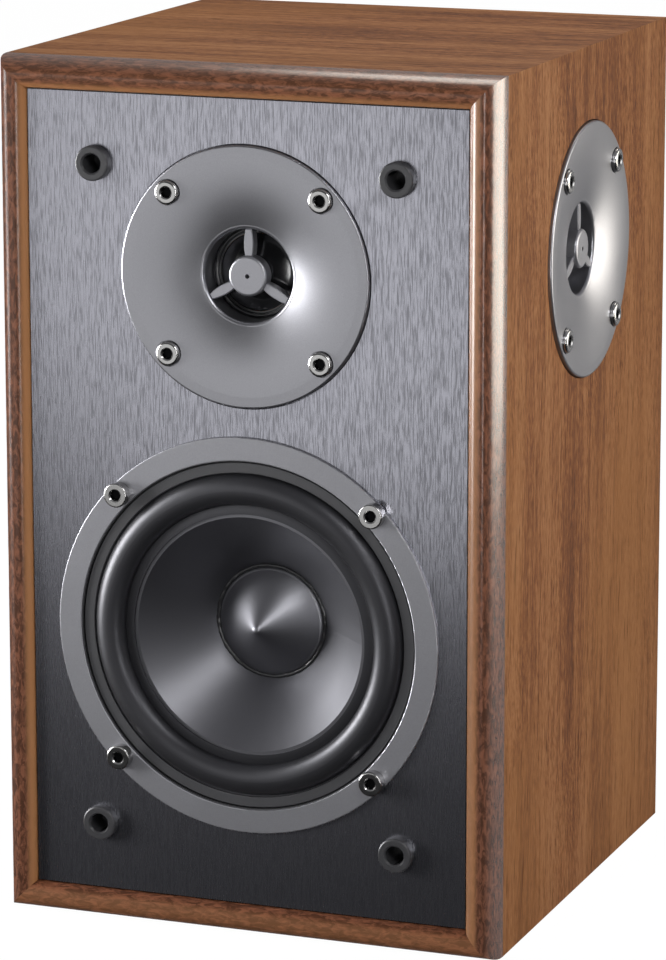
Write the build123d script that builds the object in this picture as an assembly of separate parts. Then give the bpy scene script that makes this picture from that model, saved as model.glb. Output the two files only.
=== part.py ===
from build123d import *
import math
import os

# A two-way bookshelf speaker with a second tweeter in its right-hand side, in millimetres.
# The base stands on z = 0, the front looks along -Y, and the origin is the centre of the base.

# Cabinet
cabinet_width = 170.0
cabinet_height = 284.0
wall = 10.0
baffle_y = -86.5
back_y = 90.5
nose_peak_y = -90.5
nose_outer_y = -79.5
nose_inner_y = -86.1
baffle_thickness = 12.0
back_thickness = 12.0
shadow_gap = 0.4
shadow_depth = 3.0
fit_gap = 0.05

# Where the drive units sit
woofer_z = 100.0
tweeter_z = 217.0
side_tweeter_y = 3.5

# Grille sockets
socket_x = 51.5
socket_heights = (32.8, 251.0)
socket_flange_r = 5.7
socket_body_r = 4.3
socket_hole_r = 3.1
socket_rise = 3.0
socket_depth = 9.0
socket_hole_depth = 7.0

# Tweeter, measured outwards from the panel that carries it
plate_r = 42.25
plate_rise = 1.3
plate_seat = -2.7
rebate_depth = 3.5
boss_r = 29.0
boss_back = -10.6
throat_r = 15.0
tweeter_cutout_r = 31.0
tweeter_screw_spacing = 52.0
plug_r = 6.5
plug_face = -1.8
plug_back = -6.9
dome_r = 12.65
dome_peak = -7.9
dome_rim = -11.0
dome_skin = 0.25

# Woofer, measured outwards from the baffle
trim_outer_r = 65.4
trim_inner_r = 57.6
trim_rise = 1.0
flange_r = 64.6
flange_back = -2.8
seat_depth = -1.8
cone_rim_r = 42.5
cone_edge_r = 38.7
cone_neck_r = 12.95
cone_wall = 0.8
roll_inner_r = 43.0
roll_outer_r = 53.0
roll_height = 4.2
cap_r = 18.1
cap_height = 15.0
former_r = 12.75
former_back = -48.0
coil_r = 13.45
magnet_gap = 0.35
woofer_screw_spacing = 87.5

# Screws
screw_head_r = 4.0
screw_shank_r = 1.7
hex_flats = 3.2

# Back of the cabinet
port_z = 205.0
port_r = 21.0
port_wall = 2.5
port_flange_r = 33.0
port_length = 95.0
cup_z = 72.0
cup_width = 84.0
cup_height = 62.0
cup_rise = 2.5
cup_recess_width = 62.0
cup_recess_height = 42.0
cup_recess_depth = 30.0
cup_skin = 2.5
post_x = 15.0
post_r = 3.0
banana_r = 2.0
post_length = 20.5
banana_depth = 14.0
wire_hole_r = 1.2
knob_r = 8.0
knob_length = 18.0
washer_r = 6.0
washer_thickness = 1.2

# Crossover
board_size = (96.0, 66.0, 1.6)
board_centre = (0.0, 36.0)
board_z = 16.0

half_width = cabinet_width / 2
inner_half = half_width - wall
baffle_back_y = baffle_y + baffle_thickness
back_inner_y = back_y - back_thickness

# A drive unit is drawn with +Z out of its panel, then set on one of these planes.
woofer_plane = Plane((0, baffle_y, woofer_z), x_dir=(1, 0, 0), z_dir=(0, -1, 0))
front_tweeter_plane = Plane((0, baffle_y, tweeter_z), x_dir=(1, 0, 0), z_dir=(0, -1, 0))
side_tweeter_plane = Plane((half_width, side_tweeter_y, tweeter_z), x_dir=(0, 1, 0), z_dir=(1, 0, 0))

os.makedirs("parts", exist_ok=True)


def behind(x, z):
    """A plane on the back face, looking out of the back."""
    return Plane((x, back_y, z), x_dir=(-1, 0, 0), z_dir=(0, 1, 0))


def save(name, *solids):
    """Write one node, which may be a group of separate solids."""
    shape = solids[0] if len(solids) == 1 else Compound(children=list(solids))
    export_step(shape, f"parts/{name}.step")


def put(plane, shape):
    """Set a shape that was drawn about the origin on a plane."""
    return plane.location * shape


def turned(*points):
    """Turn a closed outline of (radius, height) points about the Z axis."""
    outline = Plane.XZ * make_face(Polyline(*points, close=True))
    return revolve(outline, Axis.Z, 360)


def turned_edges(edges):
    """Turn an outline of lines and arcs about the Z axis."""
    return revolve(Plane.XZ * make_face(Curve() + edges), Axis.Z, 360)


def tube(outer, inner, low, high):
    """A ring between two heights."""
    return turned((inner, low), (outer, low), (outer, high), (inner, high))


def disc(radius, low, high):
    """A solid cylinder between two heights."""
    return Pos(0, 0, low) * Cylinder(radius, high - low, align=(Align.CENTER, Align.CENTER, Align.MIN))


def block(x, y, z):
    """A box given by its lowest and highest place along each axis."""
    size = (x[1] - x[0], y[1] - y[0], z[1] - z[0])
    centre = ((x[0] + x[1]) / 2, (y[0] + y[1]) / 2, (z[0] + z[1]) / 2)
    return Pos(*centre) * Box(*size)


def corners(spacing_x, spacing_y):
    """The four corners of a rectangle about the origin."""
    return [(sx * spacing_x / 2, sy * spacing_y / 2) for sx in (-1, 1) for sy in (-1, 1)]


def hex_screw(head_low, head_high, tip, rounding):
    """A wood screw with a round head and a hexagon socket, along Z."""
    head = disc(screw_head_r, head_low, head_high)
    head = fillet(head.edges().group_by(Axis.Z)[-1], rounding)
    point = turned((0, tip), (0.4, tip), (screw_shank_r, tip + 3), (screw_shank_r, head_low), (0, head_low))
    socket_floor = head_high - 1.8
    socket = Pos(0, 0, socket_floor) * extrude(RegularPolygon(hex_flats / 2, 6, major_radius=False), 3)
    mouth = turned((0, head_high - 0.5), (1.7, head_high - 0.5), (2.3, head_high + 0.1), (0, head_high + 0.1))
    return head + point - socket - mouth


# ---------------------------------------------------------------- cabinet

def panel_section():
    """The cut through a panel: x is the depth from the outside face, y runs front to back."""
    middle = wall / 2
    outer_rise = nose_outer_y - nose_peak_y
    inner_rise = nose_inner_y - nose_peak_y
    outer = EllipticalCenterArc((middle, nose_outer_y), middle, outer_rise, 180, arc_size=90)
    inner = EllipticalCenterArc((middle, nose_inner_y), middle, inner_rise, 270, arc_size=90)
    sides = Polyline((wall, nose_inner_y), (wall, back_y), (0, back_y), (0, nose_outer_y))
    return make_face(Curve() + [outer, inner, sides])


def panel(length):
    """A panel standing on edge along Z, mitred at both ends, with its outside face on x = 0."""
    blank = extrude(panel_section(), length)
    reach = 2 * wall
    wedge = make_face(Polyline((0, 0), (0, length), (reach, length - reach), (reach, reach), close=True))
    deep = back_y - nose_peak_y + 20
    keep = Pos(0, back_y + 10, 0) * extrude(Plane.XZ * wedge, deep)
    return blank & keep


def cabinet():
    """Four mitred panels, the baffle and the back."""
    upright = panel(cabinet_height)
    level = panel(cabinet_width)
    left = Pos(-half_width, 0, 0) * upright
    right = mirror(left, Plane.YZ)
    bottom = Pos(-half_width, 0, 0) * (Rot(0, 90, 0) * mirror(level, Plane.YZ))
    top = mirror(bottom, Plane.XY.offset(cabinet_height / 2))

    cutout = disc(tweeter_cutout_r, -20, 20)
    rebate = disc(plate_r + 0.35, -rebate_depth, 5)
    pilots = [Pos(x, y, 0) * disc(screw_shank_r, -9.5, 5) for x, y in corners(*[tweeter_screw_spacing] * 2)]
    tweeter_hole = [cutout, rebate] + pilots
    for tool in tweeter_hole:
        right = right - put(side_tweeter_plane, tool)

    inside = (wall, cabinet_height - wall)
    front_face = (wall + shadow_gap, cabinet_height - wall - shadow_gap)
    baffle = block((-inner_half, inner_half), (baffle_y + shadow_depth, baffle_back_y), inside)
    face_x = (-inner_half + shadow_gap, inner_half - shadow_gap)
    baffle = baffle + block(face_x, (baffle_y, baffle_y + shadow_depth), front_face)
    for tool in tweeter_hole:
        baffle = baffle - put(front_tweeter_plane, tool)
    woofer_pilots = [Pos(x, y, 0) * disc(screw_shank_r, -11, 5) for x, y in corners(*[woofer_screw_spacing] * 2)]
    for tool in [disc(57.5, -20, 20), disc(flange_r + 0.3, -rebate_depth, 5)] + woofer_pilots:
        baffle = baffle - put(woofer_plane, tool)
    for plane in socket_planes():
        baffle = baffle - put(plane, disc(socket_body_r + fit_gap, -baffle_thickness - 5, 5))

    back = block((-inner_half, inner_half), (back_inner_y, back_y), inside)
    cup_hole = block(
        (-cup_recess_width / 2 - cup_skin - 0.5, cup_recess_width / 2 + cup_skin + 0.5),
        (back_inner_y - 5, back_y + 5),
        (cup_z - cup_recess_height / 2 - cup_skin - 0.5, cup_z + cup_recess_height / 2 + cup_skin + 0.5),
    )
    port_hole = Pos(0, 0, port_z) * (Rot(90, 0, 0) * Cylinder(port_r + port_wall + fit_gap, 400))
    back = back - cup_hole - port_hole
    for tool in cup_screws(for_hole=True):
        back = back - tool

    for x, y in board_fixings():
        bottom = bottom - Pos(x, y, 0) * disc(1.5, wall - 6.2, wall + 1)

    save("side_panel_left", left)
    save("side_panel_right", right)
    save("top_panel", top)
    save("bottom_panel", bottom)
    save("front_baffle", baffle)
    save("back_panel", back)


def socket_planes():
    """One plane for each grille socket, looking out of the baffle."""
    places = [(x, z) for z in socket_heights for x in (-socket_x, socket_x)]
    return [Plane((x, baffle_y, z), x_dir=(1, 0, 0), z_dir=(0, -1, 0)) for x, z in places]


def grille_sockets():
    """Moulded bushes pressed into the baffle, which take the pegs of a cloth grille."""
    body = disc(socket_body_r, -socket_depth, 0)
    flange = disc(socket_flange_r, 0, socket_rise)
    flange = fillet(flange.edges().group_by(Axis.Z)[-1], 0.7)
    hole = disc(socket_hole_r, -socket_hole_depth, socket_rise + 1)
    mouth = turned((0, socket_rise - 0.6), (socket_hole_r, socket_rise - 0.6),
                   (socket_hole_r + 0.6, socket_rise + 0.1), (0, socket_rise + 0.1))
    bush = body + flange - hole - mouth
    for turn in range(3):
        slit = block((0, socket_hole_r + 0.5), (-0.45, 0.45), (-socket_hole_depth, socket_rise - 1.2))
        bush = bush - Rot(0, 0, 120 * turn + 30) * slit
    save("grille_sockets", *[put(plane, bush) for plane in socket_planes()])


# ---------------------------------------------------------------- tweeters

def faceplate():
    """A round plate whose front flares out from the throat like a shallow horn."""
    lip = ThreePointArc((throat_r, -3.4), (15.35, -2.75), (16.3, -2.35))
    flare = ThreePointArc((16.3, -2.35), (27.0, 0.15), (38.5, plate_rise))
    edge = ThreePointArc((plate_r - 0.7, plate_rise), (plate_r - 0.2, plate_rise - 0.2), (plate_r, plate_rise - 0.7))
    outline = [
        lip,
        flare,
        Line((38.5, plate_rise), (plate_r - 0.7, plate_rise)),
        edge,
        Polyline((plate_r, plate_rise - 0.7), (plate_r, plate_seat), (boss_r, plate_seat), (boss_r, dome_rim),
                 (20.0, dome_rim), (20.0, boss_back), (throat_r, boss_back), (throat_r, -3.4)),
    ]
    plate = turned_edges(outline)
    for x, y in corners(tweeter_screw_spacing, tweeter_screw_spacing):
        plate = plate - Pos(x, y, 0) * disc(screw_shank_r + 0.2, -5, 5)
        plate = plate - Pos(x, y, 0) * disc(screw_head_r + 0.3, 0.2, 5)
    return plate


def phase_plug():
    """A small round plug held in the throat by three leaf-shaped arms."""
    plug = disc(plug_r, plug_back, plug_face)
    plug = fillet(plug.edges().group_by(Axis.Z)[-1], 0.9)
    plug = chamfer(plug.edges().group_by(Axis.Z)[0], 0.8)
    leaf_start = plug_r - 1.0
    leaf_middle = (leaf_start + throat_r) / 2
    leaf = make_face(Curve() + [
        ThreePointArc((leaf_start, -1.1), (leaf_middle, -1.65), (throat_r, -1.0)),
        Line((throat_r, -1.0), (throat_r, 1.0)),
        ThreePointArc((throat_r, 1.0), (leaf_middle, 1.65), (leaf_start, 1.1)),
        Line((leaf_start, 1.1), (leaf_start, -1.1)),
    ])
    arm = Pos(0, 0, -6.4) * extrude(leaf, 3.4)
    arm = chamfer(arm.edges().group_by(Axis.Z)[-1], 0.3)
    for turn in (90, 210, 330):
        plug = plug + Rot(0, 0, turn) * arm
    plug = plug & disc(throat_r, -12, 5)
    return plug - disc(0.75, plug_face - 2.5, 5)


def cap_arc(radius, rim, peak):
    """Half of a spherical cap's outline, from its peak on the axis to its rim."""
    ball_r = (radius**2 + (peak - rim)**2) / (2 * (peak - rim))
    halfway = peak - ball_r + math.sqrt(ball_r**2 - (radius / 2)**2)
    return ThreePointArc((0, peak), (radius / 2, halfway), (radius, rim))


def dome():
    """A thin pressed cap, open behind, which the voice coil is glued into."""
    outline = [
        cap_arc(dome_r, dome_rim, dome_peak),
        Line((dome_r, dome_rim), (dome_r - 0.5, dome_rim)),
        cap_arc(dome_r - 0.5, dome_rim, dome_peak - dome_skin),
        Line((0, dome_peak - dome_skin), (0, dome_peak)),
    ]
    return turned_edges(outline)


def half_roll(inner, outer, base, height, skin):
    """The outline of a half-round roll that joins two flat rims."""
    middle = (inner + outer) / 2
    upper = ThreePointArc((inner, base + skin), (middle, base + height), (outer, base + skin))
    lower = ThreePointArc((outer - skin, base), (middle, base + height - skin), (inner + skin, base))
    return upper, lower


def tweeter_surround():
    """The flexible roll around the dome, with a flat rim clamped behind the faceplate."""
    upper, lower = half_roll(dome_r + 0.5, throat_r - 0.2, dome_rim, 0.9, 0.2)
    top_inner, top_outer = upper @ 0, upper @ 1
    low_outer, low_inner = lower @ 0, lower @ 1
    rim = 19.8
    start = dome_r + 0.1
    outline = [
        upper,
        Polyline((top_outer.X, top_outer.Y), (throat_r + 0.4, top_outer.Y), (throat_r + 0.6, boss_back),
                 (rim, boss_back), (rim, dome_rim), (low_outer.X, low_outer.Y)),
        lower,
        Polyline((low_inner.X, low_inner.Y), (start, dome_rim), (start, top_inner.Y), (top_inner.X, top_inner.Y)),
    ]
    return turned_edges(outline)


def tweeter(name, plane):
    """All the pieces of one tweeter, set on its plane."""
    spots = corners(tweeter_screw_spacing, tweeter_screw_spacing)
    screw = hex_screw(0.2, 2.7, -9.3, 0.9)
    bobbin = tube(12.65, 12.5, -17.0, dome_rim)
    winding = tube(12.95, 12.65, -15.5, -12.0)
    motor_r = 25.0
    yoke = disc(motor_r - 1, -26.0, -22.0) + disc(12.15, -22.0, -11.6)
    yoke = chamfer(yoke.edges().group_by(Axis.Z)[0], 1.0)
    blades = [block((sign * 8 - 1.4, sign * 8 + 1.4), (-27.4, -26.9), (-19.0, dome_rim)) for sign in (-1, 1)]
    seal = tube(plate_r - 0.4, tweeter_cutout_r + 0.4, -rebate_depth, plate_seat)
    for x, y in spots:
        seal = seal - Pos(x, y, 0) * disc(screw_shank_r + 0.2, -5, 0)
    pieces = {
        "faceplate": [faceplate()],
        "phase_plug": [phase_plug()],
        "dome": [dome()],
        "surround": [tweeter_surround()],
        "voice_coil": [bobbin + winding],
        "top_plate": [tube(motor_r - 1, 13.3, -14.0, dome_rim)],
        "magnet": [tube(motor_r, 16.0, -22.0, -14.0)],
        "yoke": [yoke],
        "terminals": blades,
        "gasket": [seal],
        "screws": [Pos(x, y, 0) * screw for x, y in spots],
    }
    for piece, solids in pieces.items():
        save(f"{name}_{piece}", *[put(plane, solid) for solid in solids])


# ---------------------------------------------------------------- woofer

def basket():
    """The pressed frame: flange, seat for the surround, open sides and a shelf for the spider."""
    shell = turned(
        (18, -40), (34.5, -40), (34.5, -34.5), (38.5, -34.5), (51.5, -6.5), (57, -4.0), (57, flange_back),
        (flange_r, flange_back), (flange_r, 0), (trim_inner_r - 0.3, 0), (trim_inner_r - 0.3, seat_depth),
        (49.8, seat_depth), (49.8, -6.2), (37, -33), (33, -33), (33, -38.5), (18, -38.5),
    )
    window_outline = Plane.XZ * make_face(Polyline((35, -31), (60, -31), (60, -9), (35, -9), close=True))
    window = revolve(window_outline, Axis.Z, 62)
    for turn in range(4):
        shell = shell - Rot(0, 0, 90 * turn + 14) * window
    for x, y in corners(woofer_screw_spacing, woofer_screw_spacing):
        shell = shell - Pos(x, y, 0) * disc(screw_shank_r + 0.2, -5, 5)
    return shell


def cone():
    """The driven cone: a flat rim under the surround, straight sides and a neck on the voice coil."""
    neck_z = seat_depth - (cone_edge_r - cone_neck_r)
    thick = cone_wall * math.sqrt(2)
    return turned(
        (cone_edge_r, seat_depth), (cone_rim_r, seat_depth), (cone_rim_r, seat_depth - 0.6),
        (cone_edge_r + 0.3, seat_depth - 0.6 - cone_wall), (cone_neck_r + 0.05, neck_z - thick),
        (cone_neck_r + 0.05, neck_z),
    )


def dust_cap():
    """A pointed cap with a small rolled rim, standing on the cone."""
    rim_z = seat_depth - (cone_edge_r - cap_r)
    peak = rim_z + cap_height
    side = ThreePointArc((1.2, peak - 0.35), (9.6, rim_z + 7.6), (cap_r - 1.0, rim_z + 1.5))
    under = ThreePointArc((cap_r - 1.6, rim_z + 1.0), (9.2, rim_z + 6.9), (1.0, peak - 1.1))
    outline = [
        ThreePointArc((0, peak), (0.65, peak - 0.1), (1.2, peak - 0.35)),
        side,
        ThreePointArc((cap_r - 1.0, rim_z + 1.5), (cap_r - 0.3, rim_z + 1.05), (cap_r, rim_z + 0.4)),
        Polyline((cap_r, rim_z + 0.4), (cap_r, rim_z), (cap_r - 0.6, rim_z - 0.6), (cap_r - 1.6, rim_z + 1.0)),
        under,
        Polyline((1.0, peak - 1.1), (0, peak - 0.8), (0, peak)),
    ]
    return turned_edges(outline)


def woofer_surround():
    """A half roll of rubber with a flat rim on the cone and another on the basket."""
    skin = 0.6
    upper, lower = half_roll(roll_inner_r, roll_outer_r, seat_depth, roll_height, skin)
    top = seat_depth + skin
    outline = [
        Polyline((cone_edge_r, seat_depth), (cone_edge_r, top), (roll_inner_r, top)),
        upper,
        Polyline((roll_outer_r, top), (trim_inner_r - 0.6, top), (trim_inner_r - 0.6, seat_depth),
                 (roll_outer_r - skin, seat_depth)),
        lower,
        Polyline((roll_inner_r + skin, seat_depth), (cone_edge_r, seat_depth)),
    ]
    return turned_edges(outline)


def spider():
    """The corrugated disc that centres the voice coil."""
    inner, outer, plane_z, wave, skin = 15.0, 32.0, -32.7, 1.1, 0.4
    count = 5
    pitch = (outer - inner) / count
    upper, lower = [], []
    for i in range(count):
        start = inner + i * pitch
        side = 1 if i % 2 == 0 else -1
        for edges, lift in ((upper, skin / 2), (lower, -skin / 2)):
            edges.append(ThreePointArc((start, plane_z + lift), (start + pitch / 2, plane_z + lift + side * wave),
                                       (start + pitch, plane_z + lift)))
    low, high = plane_z - skin / 2, plane_z + skin / 2
    ends = [
        Polyline((outer, high), (36.0, high), (36.0, -33.0), (33.2, -33.0), (outer, low)),
        Polyline((inner, low), (cone_neck_r + 0.1, low), (cone_neck_r + 0.1, high), (inner, high)),
    ]
    return turned_edges(upper + lower + ends)


def woofer():
    """All the pieces of the woofer."""
    spots = corners(woofer_screw_spacing, woofer_screw_spacing)
    holes = [Pos(x, y, 0) * disc(screw_shank_r + 0.2, -5, 5) for x, y in spots]
    trim = tube(trim_outer_r, trim_inner_r, 0, trim_rise)
    trim = fillet(trim.edges().group_by(Axis.Z)[-1], 0.35)
    seal = tube(flange_r - 0.4, 58.0, -rebate_depth, flange_back)
    for hole in holes:
        trim = trim - hole
        seal = seal - hole
    clamp = tube(trim_inner_r - 0.6, roll_outer_r + 0.5, seat_depth + 0.6, seat_depth + 1.5)
    clamp = fillet(clamp.edges().group_by(Axis.Z)[-1], 0.25)
    pole_r = former_r - magnet_gap
    bobbin = tube(cone_neck_r, former_r, former_back, -27.4)
    winding = tube(coil_r, cone_neck_r, -47.0, -39.0)
    yoke = disc(34.0, -66.0, -60.0) + disc(pole_r, -60.0, -40.0)
    yoke = chamfer(yoke.edges().group_by(Axis.Z)[0], 1.5)
    yoke = yoke - disc(4.0, -70, -30)
    screw = hex_screw(trim_rise, 4.6, -10.8, 0.5)
    strip = block((-10, 10), (-47, -36), (-36.0, -34.5))
    tabs = [block((side - 1.4, side + 1.4), (-51, -40), (-36.8, -36.0)) for side in (-5.5, 5.5)]
    pieces = {
        "basket": [basket()],
        "gasket": [seal],
        "trim_ring": [trim],
        "clamp_ring": [clamp],
        "surround": [woofer_surround()],
        "cone": [cone()],
        "dust_cap": [dust_cap()],
        "voice_coil": [bobbin + winding],
        "spider": [spider()],
        "top_plate": [tube(30.0, coil_r + magnet_gap, -46.0, -40.0)],
        "magnet": [tube(35.0, 17.0, -60.0, -46.0)],
        "yoke": [yoke],
        "terminal_strip": [strip],
        "terminal_tabs": tabs,
        "screws": [Pos(x, y, 0) * screw for x, y in spots],
    }
    for piece, solids in pieces.items():
        save(f"woofer_{piece}", *[put(woofer_plane, solid) for solid in solids])


# ---------------------------------------------------------------- back of the cabinet

def port_tube():
    """The reflex port: a straight duct with a rounded mouth and a flange on the back panel."""
    outer_r = port_r + port_wall
    mouth = 8.0
    mouth_curve = ThreePointArc((port_r, -mouth + 2.0), (port_r + 2.3, -0.3), (port_r + mouth, 2.0))
    outline = [
        Line((port_r, -port_length), (port_r, -mouth + 2.0)),
        mouth_curve,
        ThreePointArc((port_r + mouth, 2.0), (port_flange_r - 1.0, 1.7), (port_flange_r, 0.6)),
        Polyline((port_flange_r, 0.6), (port_flange_r, 0), (outer_r, 0), (outer_r, -port_length),
                 (port_r, -port_length)),
    ]
    save("port_tube", put(behind(0, port_z), turned_edges(outline)))


def cup_screws(for_hole=False):
    """Four small screws through the corners of the terminal cup, or the holes that they need."""
    shapes = []
    for x, z in corners(cup_width - 10, cup_height - 10):
        if for_hole:
            shape = disc(1.3, -8.5, 4)
        else:
            head = disc(3.0, cup_rise - 0.9, cup_rise + 0.9)
            head = fillet(head.edges().group_by(Axis.Z)[-1], 0.8)
            slots = block((-1.8, 1.8), (-0.35, 0.35), (cup_rise, 4)) + block((-0.35, 0.35), (-1.8, 1.8), (cup_rise, 4))
            shape = head + disc(1.3, -8.3, cup_rise - 0.9) - slots
        shapes.append(put(behind(x, cup_z + z), shape))
    return shapes


def terminal_cup():
    """A moulded cup let into the back, with a flat floor that carries the binding posts."""
    flange = extrude(RectangleRounded(cup_width, cup_height, 6), cup_rise)
    flange = chamfer(flange.edges().group_by(Axis.Z)[-1], 0.8)
    shell = extrude(RectangleRounded(cup_recess_width + 2 * cup_skin, cup_recess_height + 2 * cup_skin, 5),
                    -cup_recess_depth - cup_skin)
    hollow = Pos(0, 0, -cup_recess_depth) * extrude(
        RectangleRounded(cup_recess_width, cup_recess_height, 3), cup_recess_depth + 5)
    cup = flange + shell - hollow
    for x, y in corners(cup_width - 10, cup_height - 10):
        cup = cup - Pos(x, y, 0) * disc(1.5, -1, 5) - Pos(x, y, 0) * disc(3.2, cup_rise - 0.9, 5)
    for sign in (-1, 1):
        cup = cup - Pos(sign * post_x, 0, 0) * disc(post_r + fit_gap, -cup_recess_depth - 5, 0)
    save("terminal_cup", put(behind(0, cup_z), cup))
    save("terminal_cup_screws", *cup_screws())


def binding_posts():
    """Two hollow posts with a nut inside the cabinet, and a captive washer and a screwed knob outside."""
    floor = -cup_recess_depth
    collar_top = floor + 3.0
    post_top = floor + post_length
    collar = disc(5.5, floor, collar_top)
    shank = disc(post_r, floor - cup_skin - 9.0, post_top)
    wire_hole = Pos(0, 0, collar_top + wire_hole_r + 0.3) * (Rot(0, 90, 0) * Cylinder(wire_hole_r, 20))
    post = collar + shank - disc(banana_r, post_top - banana_depth, post_top + 1) - wire_hole
    nut = Pos(0, 0, floor - cup_skin - 3.0) * extrude(RegularPolygon(4.5, 6, major_radius=False), 3.0)
    nut = nut - disc(post_r + fit_gap, -60, 0)
    washer_low = collar_top + 0.2
    washer_high = washer_low + washer_thickness
    clear_r = post_r + 0.08
    washer = tube(washer_r, clear_r, washer_low, washer_high)
    knob_high = washer_high + knob_length
    body = disc(knob_r, washer_high, knob_high)
    body = chamfer(body.edges().group_by(Axis.Z)[-1], 1.0)
    body = body - disc(clear_r, -60, 10)
    flute = Pos(knob_r + 1.0, 0, 0) * disc(1.6, washer_high + 2.0, 10)
    for turn in range(12):
        body = body - Rot(0, 0, 30 * turn) * flute
    planes = {"red": behind(-post_x, cup_z), "black": behind(post_x, cup_z)}
    save("binding_posts", *[put(plane, post) for plane in planes.values()])
    save("binding_post_nuts", *[put(plane, nut) for plane in planes.values()])
    for colour, plane in planes.items():
        save(f"clamp_washer_{colour}", put(plane, washer))
        save(f"terminal_knob_{colour}", put(plane, body))


# ---------------------------------------------------------------- crossover, wires and damping

def board_fixings():
    """Where the board's four screws stand."""
    return [(board_centre[0] + x, board_centre[1] + y) for x, y in corners(board_size[0] - 8, board_size[1] - 8)]


def crossover():
    """The filter board on the floor of the cabinet, with coils, capacitors and power resistors."""
    cx, cy = board_centre
    length, depth, thick = board_size
    top = board_z + thick
    board = block((cx - length / 2, cx + length / 2), (cy - depth / 2, cy + depth / 2), (board_z, top))
    for x, y in board_fixings():
        board = board - Pos(x, y, 0) * disc(1.6, 10, 20)
    upright_coil = tube(15.0, 7.0, top, top + 12.0)
    small_coil = tube(11.0, 5.0, top, top + 10.0)
    lying_coil = Rot(90, 0, 0) * tube(11.0, 5.0, -5, 5)
    coils = [
        Pos(cx - 28, cy - 10, 0) * upright_coil,
        Pos(cx + 30, cy + 15, 0) * small_coil,
        Pos(cx + 2, cy + 18, top + 11.0) * lying_coil,
    ]
    capacitors = []
    for x, y, radius, span in ((4, -22, 6.5, 30), (4, -6, 6.5, 30), (-30, 18, 5.0, 22)):
        can = Rot(0, 90, 0) * Cylinder(radius, span)
        can = chamfer(can.edges(), 0.8)
        capacitors.append(Pos(cx + x, cy + y, top + radius) * can)
    resistors = [block((cx + 27, cx + 46), (cy + y - 3.5, cy + y + 3.5), (top, top + 7)) for y in (-20, -8)]
    spacer_screws = []
    for x, y in board_fixings():
        spacer = tube(3.0, 1.5, wall, board_z)
        stem = disc(1.5, wall - 6, top)
        head = disc(2.8, top, top + 1.8)
        spacer_screws.append(Pos(x, y, 0) * (spacer + stem + head))
    save("crossover_board", board)
    save("crossover_coils", *coils)
    save("crossover_capacitors", *capacitors)
    save("crossover_resistors", *resistors)
    save("crossover_screws", *spacer_screws)


def wire(points, radius=1.4):
    """A twin lead: straight runs joined by arcs as large as the runs allow."""
    runs = [(Vector(*b) - Vector(*a)) for a, b in zip(points, points[1:])]
    radii = []
    for before, after in zip(runs, runs[1:]):
        half_turn = math.radians(before.get_angle(after)) / 2
        radii.append(0.45 * min(before.length, after.length) / math.tan(half_turn))
    print("wire radii", [round(r, 1) for r in radii])
    path = FilletPolyline(*points, radius=radii)
    start = Plane(origin=path @ 0, z_dir=path % 0)
    return sweep(start * Circle(radius), path)


def internal_wires():
    """Leads from the two posts to the board, and from the board to the woofer and both tweeters."""
    board_top = board_z + board_size[2]
    edge = 44.5
    strip_y = baffle_y + 35.25
    boss_y = baffle_y - dome_rim
    boss_x = half_width + dome_rim
    boss_z = tweeter_z - 27.2
    post_end_y = back_y - cup_recess_depth - cup_skin - 9.0
    routes = [
        [(-post_x, post_end_y, cup_z), (-post_x, 40, cup_z), (-26, 36, 60), (-40, 40, 46), (-edge, 44, 32),
         (-edge, 44, board_top)],
        [(post_x, post_end_y, cup_z), (post_x, 40, cup_z), (26, 37, 60), (40, 46, 48), (edge, 58, 34),
         (edge, 58, board_top)],
        [(-edge, 16, board_top), (-edge, 16, 28), (-40, -2, 36), (-28, -24, 38), (-12, -42, 38),
         (0, strip_y, 43), (0, strip_y, woofer_z - 47)],
        [(edge, 38, board_top), (edge, 38, 30), (54, 26, 50), (62, 8, 80), (64, -14, 110), (62, -32, 140),
         (50, -44, 162), (28, -48, 180), (0, -52, boss_z), (0, boss_y, boss_z)],
        [(edge, 46, board_top), (edge, 46, 30), (54, 46, 52), (60, 42, 84), (60, 34, 118), (56, 24, 150),
         (50, 12, 174), (52, side_tweeter_y, boss_z), (boss_x, side_tweeter_y, boss_z)],
    ]
    save("internal_wires", *[wire(route) for route in routes])


def damping_wadding():
    """Soft fibre pads against the left wall and under the top."""
    side_pad = block((-inner_half + 0.5, -inner_half + 18), (-60, 68), (70, 190))
    top_pad = block((-50, 50), (-10, 68), (cabinet_height - wall - 18.5, cabinet_height - wall - 0.5))
    save("damping_wadding", fillet(side_pad.edges(), 5), fillet(top_pad.edges(), 5))


cabinet()
grille_sockets()
tweeter("front_tweeter", front_tweeter_plane)
tweeter("side_tweeter", side_tweeter_plane)
woofer()
port_tube()
terminal_cup()
binding_posts()
crossover()
internal_wires()
damping_wadding()
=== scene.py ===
import math

import bmesh
import bpy
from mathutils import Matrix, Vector, noise


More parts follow.
